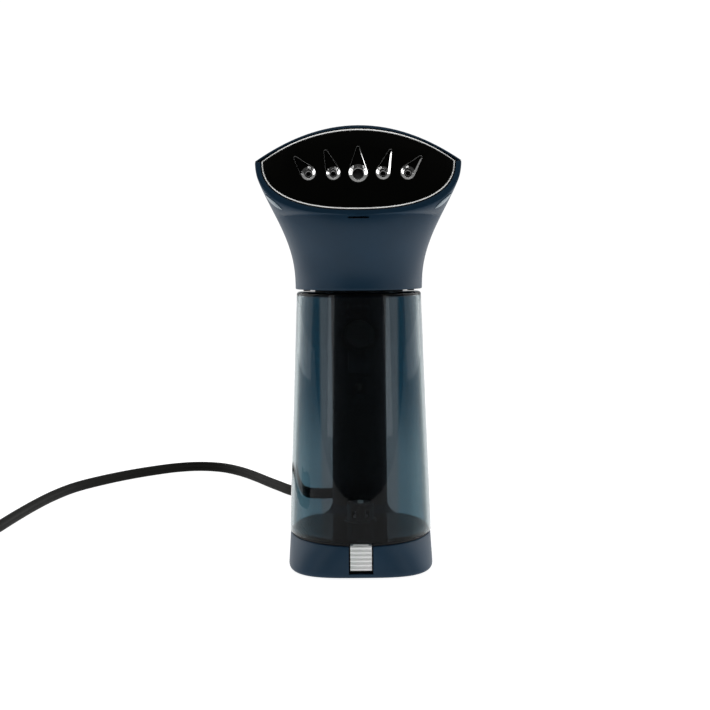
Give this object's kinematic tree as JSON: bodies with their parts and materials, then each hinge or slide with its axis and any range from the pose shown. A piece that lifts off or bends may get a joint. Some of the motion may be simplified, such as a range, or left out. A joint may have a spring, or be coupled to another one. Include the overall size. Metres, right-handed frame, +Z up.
{
  "type": "handheld garment steamer",
  "caption": "Handheld garment steamer with an eye-shaped steam plate, a clip-in translucent water tank, a rear grip with trigger, a flat standing base and a mains cord.",
  "frame": {"origin": "on the floor under the water tank's axis, in the plane of the base pad", "axes": "+Z up, -Y towards the steam plate's side (front), +X to the right as seen from the front"},
  "size_m": [0.4659, 0.3981, 0.2808],
  "materials": {
    "navy_shell": "soft-touch matte moulding",
    "black_shell": "fine-textured black moulding",
    "black_rubber": "matte rubber",
    "sole_coating": "glossy black non-stick coating",
    "bright_trim": "polished bright trim",
    "cast_metal": "as cast",
    "steel": "plated steel",
    "insert_blue": "glossy light blue",
    "button_black": "satin",
    "lens_amber": "clear tinted lens",
    "trigger_grey": "satin",
    "silver_plastic": "satin silver paint",
    "red_plastic": "satin",
    "smoke_tank": "clear smoky blue",
    "white_plastic": "natural moulding",
    "hose_silicone": "translucent silicone",
    "seal_red": "silicone",
    "board_green": "solder mask",
    "cord_black": "satin flexible jacket",
    "blade_brass": "plain"
  },
  "bodies": {
    "frame": {"head_shroud": "navy_shell", "head_cover": "navy_shell", "neck_plate": "black_shell", "tank_bumpers": "black_rubber", "steam_plate": "sole_coating", "plate_bezel": "bright_trim", "nozzle_inserts": "bright_trim", "plate_gasket": "black_rubber", "boiler_block": "cast_metal", "boiler_cover": "cast_metal", "heating_element": "steel", "thermostat": "steel", "thermal_fuse": "white_plastic", "heat_shield": "steel", "head_screws": "steel", "brush_catches": "insert_blue", "indicator_lens": "lens_amber", "grip_front": "black_shell", "grip_rear": "navy_shell", "trigger_pin": "steel", "trigger_spring": "steel", "microswitch": "black_shell", "pump": "steel", "pump_mounts": "black_rubber", "inlet_hose": "hose_silicone", "outlet_hose": "hose_silicone", "control_board": "board_green", "grip_screws": "steel", "base_shell": "navy_shell", "base_deck": "black_shell", "base_plate": "black_shell", "base_pad": "black_rubber", "latch_spring": "steel", "water_coupling": "black_shell", "coupling_seal": "seal_red", "inlet_filter": "white_plastic", "base_screws": "steel", "strain_relief": "cord_black", "power_cord": "cord_black", "cord_end": "cord_black", "cord_coil": "cord_black", "cord_tie": "black_rubber", "plug_body": "cord_black", "plug_blades": "blade_brass"},
    "tank": {"tank_body": "smoke_tank", "tank_floor": "smoke_tank", "valve_housing": "black_shell", "valve_spring": "steel", "valve_seal": "black_rubber"},
    "filler_flap": {"filler_plug": "black_rubber"},
    "valve": {"valve_poppet": "white_plastic"},
    "latch": {"tank_latch": "silver_plastic"},
    "trigger_lever": {"trigger": "trigger_grey"},
    "plunger": {"switch_plunger": "red_plastic"},
    "power_key": {"power_button": "button_black"},
    "lock_slider": {"steam_lock": "silver_plastic"}
  },
  "joints": [
    {"name": "tank_slide", "type": "slide", "parent": "frame", "child": "tank", "axis": [0, -1, 0], "range_m": [0, 0.11]},
    {"name": "filler_hinge", "type": "hinge", "parent": "tank", "child": "filler_flap", "pos_m": [0, 0.03268, 0.16372], "axis": [1, 0, 0], "range_deg": [0, 85]},
    {"name": "valve_lift", "type": "slide", "parent": "tank", "child": "valve", "axis": [0, 0, 1], "range_m": [0, 0.003], "stiffness_N_per_m": 60, "springref_m": -0.002, "deforming": ["valve_spring"]},
    {"name": "latch_slide", "type": "slide", "parent": "frame", "child": "latch", "axis": [0, 0, -1], "range_m": [0, 0.002], "stiffness_N_per_m": 400, "springref_m": -0.003, "deforming": ["latch_spring"]},
    {"name": "trigger_hinge", "type": "hinge", "parent": "frame", "child": "trigger_lever", "pos_m": [0, 0.092, 0.163], "axis": [1, 0, 0], "range_deg": [0, 8], "stiffness_Nm_per_rad": 0.6, "springref_deg": -4.58, "deforming": ["trigger_spring"]},
    {"name": "plunger_slide", "type": "slide", "parent": "frame", "child": "plunger", "axis": [0, 1, 0], "range_m": [0, 0.0042]},
    {"name": "power_press", "type": "slide", "parent": "frame", "child": "power_key", "axis": [0, -0.3686, -0.9296], "range_m": [0, 0.0015], "stiffness_N_per_m": 400, "springref_m": -0.002},
    {"name": "lock_slide", "type": "slide", "parent": "frame", "child": "lock_slider", "axis": [0, 0, 1], "range_m": [0, 0.006]}
  ],
  "couplings": [
    {"joint": "plunger_slide", "follows": "trigger_hinge", "m_per_rad": 0.0292}
  ]
}
